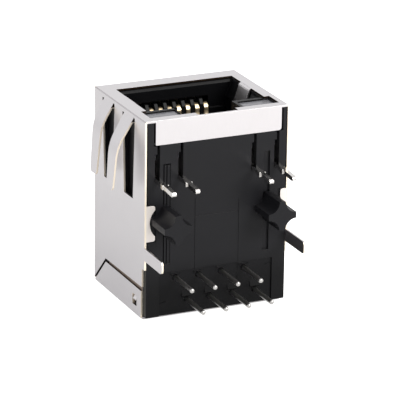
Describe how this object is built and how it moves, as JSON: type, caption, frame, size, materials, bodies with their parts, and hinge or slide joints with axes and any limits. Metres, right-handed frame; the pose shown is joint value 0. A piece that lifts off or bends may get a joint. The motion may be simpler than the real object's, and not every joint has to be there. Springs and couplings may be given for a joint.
{
  "type": "rj45 board jack",
  "caption": "Shielded single-port modular jack for a circuit board, with line transformers, board posts, spring fingers and indicator lamps.",
  "frame": {"origin": "middle of the width and height of the body on the rear cover's outer face, on which the part stands", "axes": "+Z out of the mouth, -Y towards the circuit board, +X across the mouth"},
  "size_m": [0.0192, 0.0195, 0.0213],
  "materials": {
    "shield_sheet": "bright nickel plate",
    "housing_plastic": "satin moulded",
    "insert_plastic": "satin moulded",
    "carrier_plastic": "satin moulded",
    "contact_gold": "gold plate",
    "tinned_pin": "bright tin",
    "board_laminate": "solder mask",
    "resistor_body": "glazed",
    "capacitor_body": "ceramic",
    "ferrite": "matt",
    "winding_copper": "enamelled",
    "lamp_lens": "clear diffusing",
    "lamp_lead": "bright tin"
  },
  "bodies": {
    "root": {"shield_shell": "shield_sheet", "housing": "housing_plastic", "pin_base": "insert_plastic", "contact_carrier": "carrier_plastic", "contact_1": "contact_gold", "contact_2": "contact_gold", "contact_3": "contact_gold", "contact_4": "contact_gold", "contact_5": "contact_gold", "contact_6": "contact_gold", "contact_7": "contact_gold", "contact_8": "contact_gold", "signal_pin_1": "tinned_pin", "signal_pin_2": "tinned_pin", "signal_pin_3": "tinned_pin", "signal_pin_4": "tinned_pin", "signal_pin_5": "tinned_pin", "signal_pin_6": "tinned_pin", "signal_pin_7": "tinned_pin", "signal_pin_8": "tinned_pin", "inner_board": "board_laminate", "capacitor": "capacitor_body", "resistor_1": "resistor_body", "resistor_2": "resistor_body", "resistor_3": "resistor_body", "resistor_4": "resistor_body", "toroid_core_1": "ferrite", "toroid_core_2": "ferrite", "toroid_core_3": "ferrite", "toroid_core_4": "ferrite", "toroid_winding_1": "winding_copper", "toroid_winding_2": "winding_copper", "toroid_winding_3": "winding_copper", "toroid_winding_4": "winding_copper", "led_left": "lamp_lens", "led_right": "lamp_lens", "led_lead_1": "lamp_lead", "led_lead_2": "lamp_lead", "led_lead_3": "lamp_lead", "led_lead_4": "lamp_lead"}
  },
  "joints": []
}
